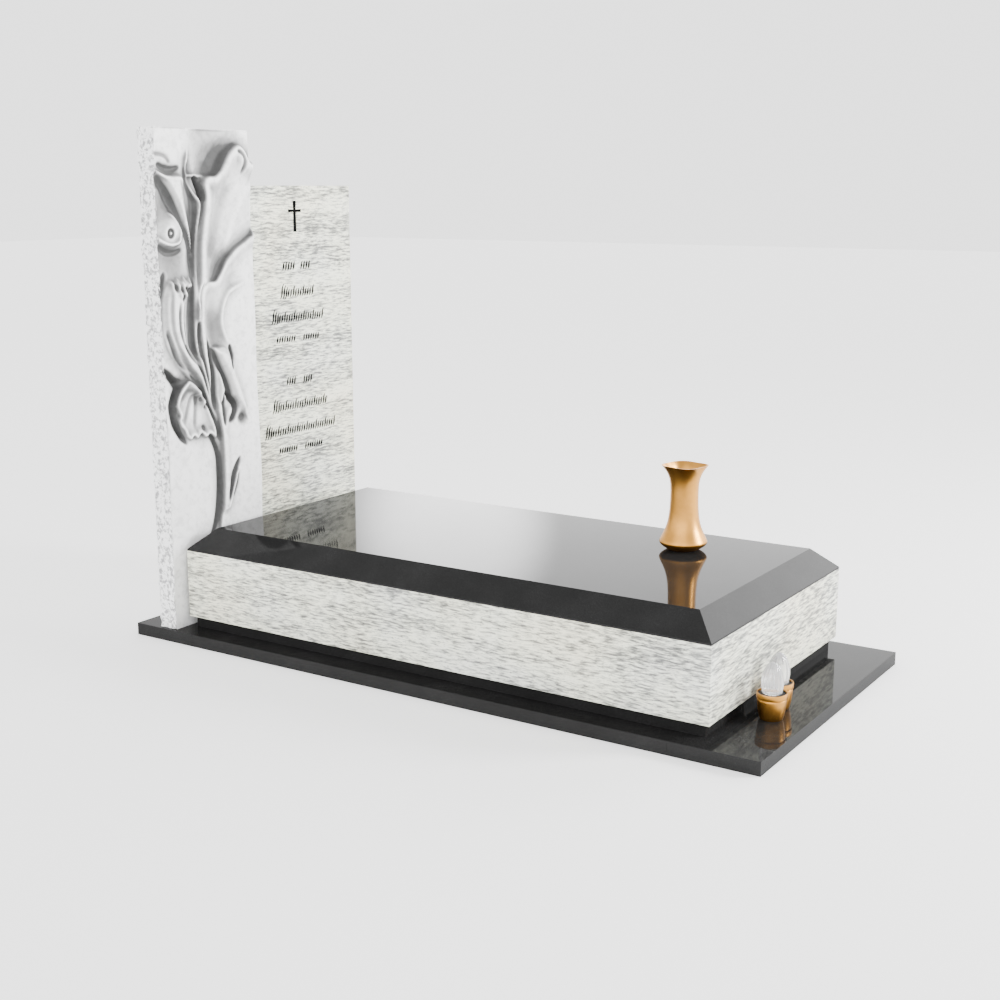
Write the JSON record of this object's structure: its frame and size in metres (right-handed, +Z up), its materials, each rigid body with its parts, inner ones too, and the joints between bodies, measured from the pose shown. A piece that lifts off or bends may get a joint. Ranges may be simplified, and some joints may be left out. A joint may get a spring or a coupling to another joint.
{
  "type": "grave monument",
  "caption": "Granite grave monument: bevelled cover on a low surround, tall slab carved with lilies, inscription slab with plain strokes, vase and candle lamps.",
  "frame": {"origin": "bottom centre of the base slabs", "axes": "+Z up, +Y from the foot end towards the head slabs, +X to the right seen from the foot end"},
  "size_m": [1.02, 2.134, 1.5753],
  "materials": {
    "black_granite": "polished",
    "grey_granite": "satin with fine grey streaks",
    "white_stone": "carved, matte, with a split left side",
    "bronze": "satin",
    "socket_black": "matte",
    "clear_glass": "clear, ribbed"
  },
  "bodies": {
    "root": {"base_foot": "black_granite", "base_left": "black_granite", "base_right": "black_granite", "base_head": "black_granite", "plinth_foot": "black_granite", "plinth_left": "black_granite", "plinth_right": "black_granite", "plinth_head": "black_granite", "surround_foot": "grey_granite", "surround_left": "grey_granite", "surround_right": "grey_granite", "surround_head": "grey_granite", "cover_slab": "black_granite", "carved_slab": "white_stone", "inscription_slab": "grey_granite", "vase": "bronze", "lamp_1_cup": "bronze", "lamp_1_socket": "socket_black", "lamp_1_flame": "clear_glass", "lamp_2_cup": "bronze", "lamp_2_socket": "socket_black", "lamp_2_flame": "clear_glass"}
  },
  "joints": []
}
